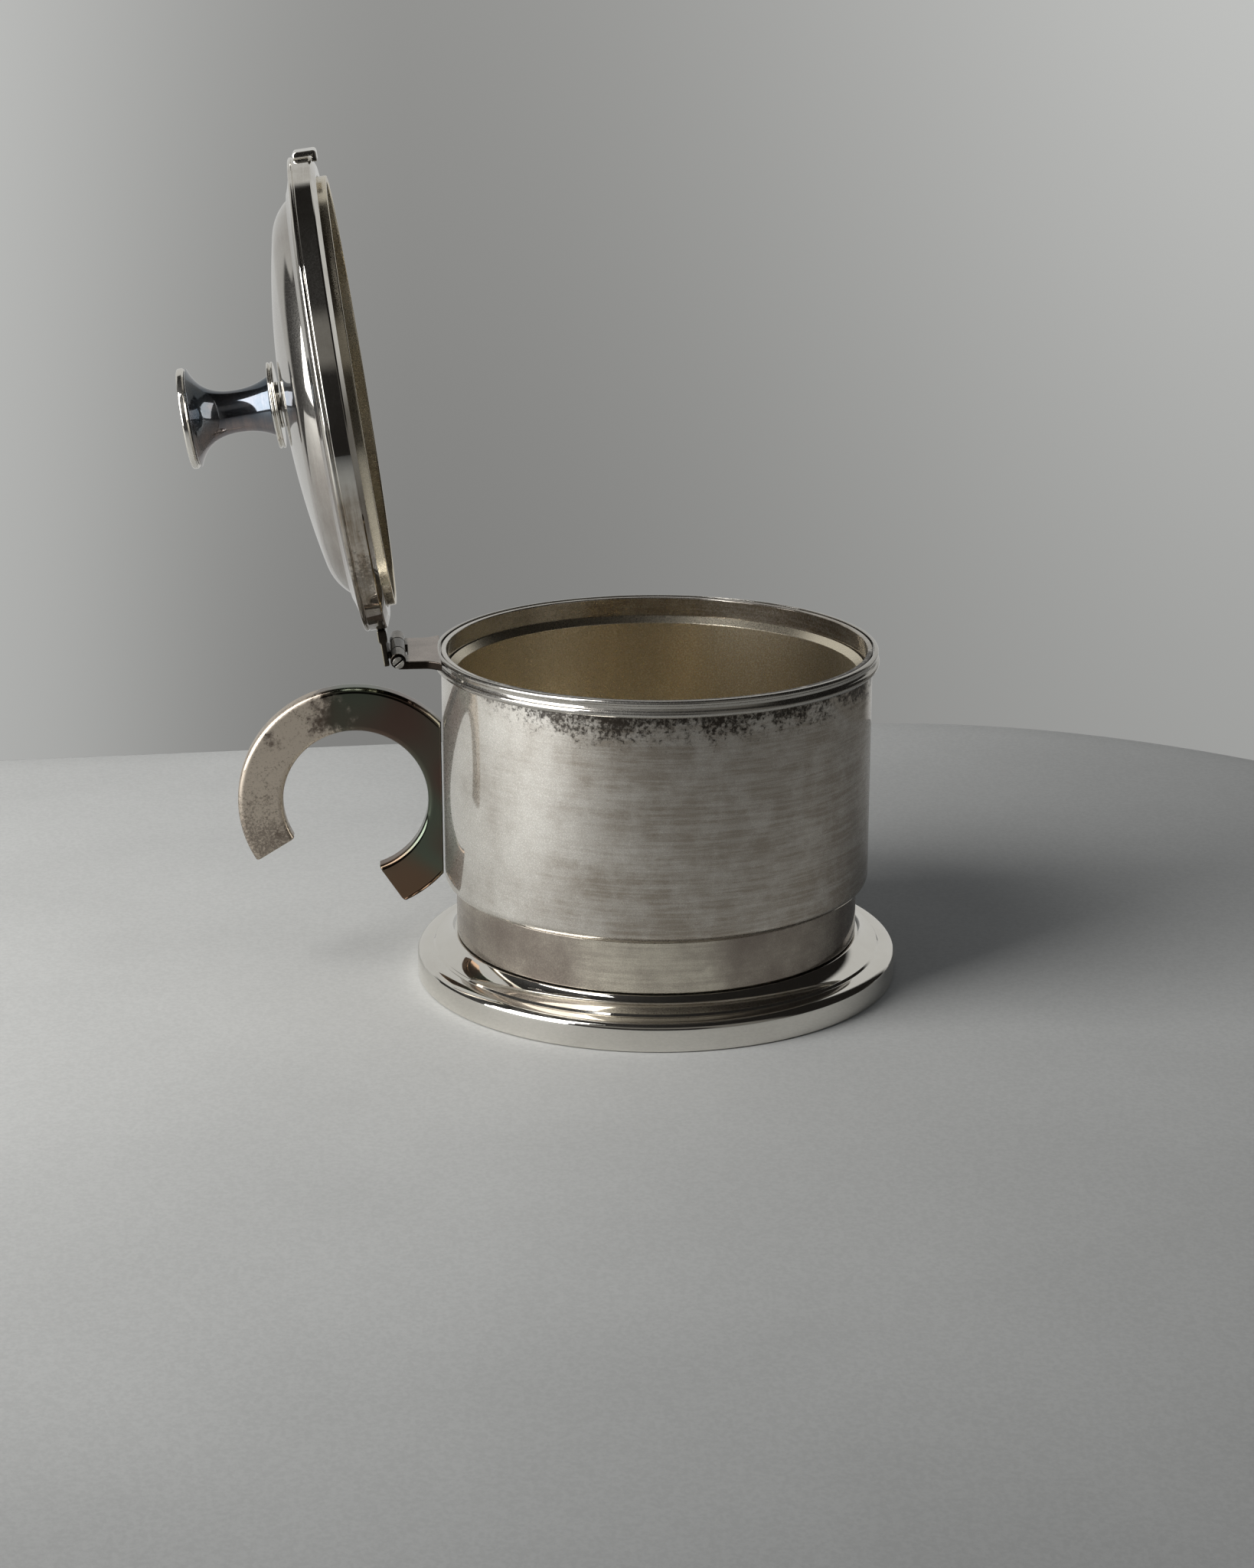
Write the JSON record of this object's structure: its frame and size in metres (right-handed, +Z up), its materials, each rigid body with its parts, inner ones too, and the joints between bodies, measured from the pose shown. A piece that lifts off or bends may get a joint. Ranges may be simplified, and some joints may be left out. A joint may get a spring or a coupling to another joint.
{
  "type": "round lidded box with a ring handle",
  "caption": "Round metal box on a spread foot, with a hinged domed lid, a turned knob and a flat open ring handle; it holds tea, sugar or other dry goods.",
  "frame": {"origin": "on the table, under the middle of the object's box with the lid open", "axes": "+Z up, -X towards the hinge and the handle"},
  "size_m": [0.1592, 0.11, 0.186],
  "materials": {
    "polished_plate": "polished silver plate with fine scratches",
    "worn_plate": "worn satin silver plate with brown tarnish",
    "tarnished_plate": "tarnished silver plate",
    "inside_plate": "dull, warm-toned silver plate",
    "screw_steel": "plain steel"
  },
  "bodies": {
    "box": {"foot": "polished_plate", "base_plate": "worn_plate", "collar": "worn_plate", "drum": "worn_plate", "inner_bowl": "inside_plate", "rim_moulding": "worn_plate", "handle": "tarnished_plate", "hinge_plate": "tarnished_plate", "hinge_screw": "screw_steel"},
    "lid": {"lid_edge_band": "worn_plate", "lid_dome": "worn_plate", "lid_bezel": "inside_plate", "lid_hinge_strap": "tarnished_plate", "lid_thumb_lip": "worn_plate", "knob_base": "polished_plate", "knob_stem": "polished_plate", "knob_cap": "polished_plate", "knob_stud": "screw_steel", "knob_washer": "screw_steel", "knob_nut": "screw_steel"}
  },
  "joints": [
    {"name": "lid_hinge", "type": "hinge", "parent": "box", "child": "lid", "pos_m": [-0.03337, 0, 0.0764], "axis": [0, 1, 0], "range_deg": [0, 98]}
  ]
}
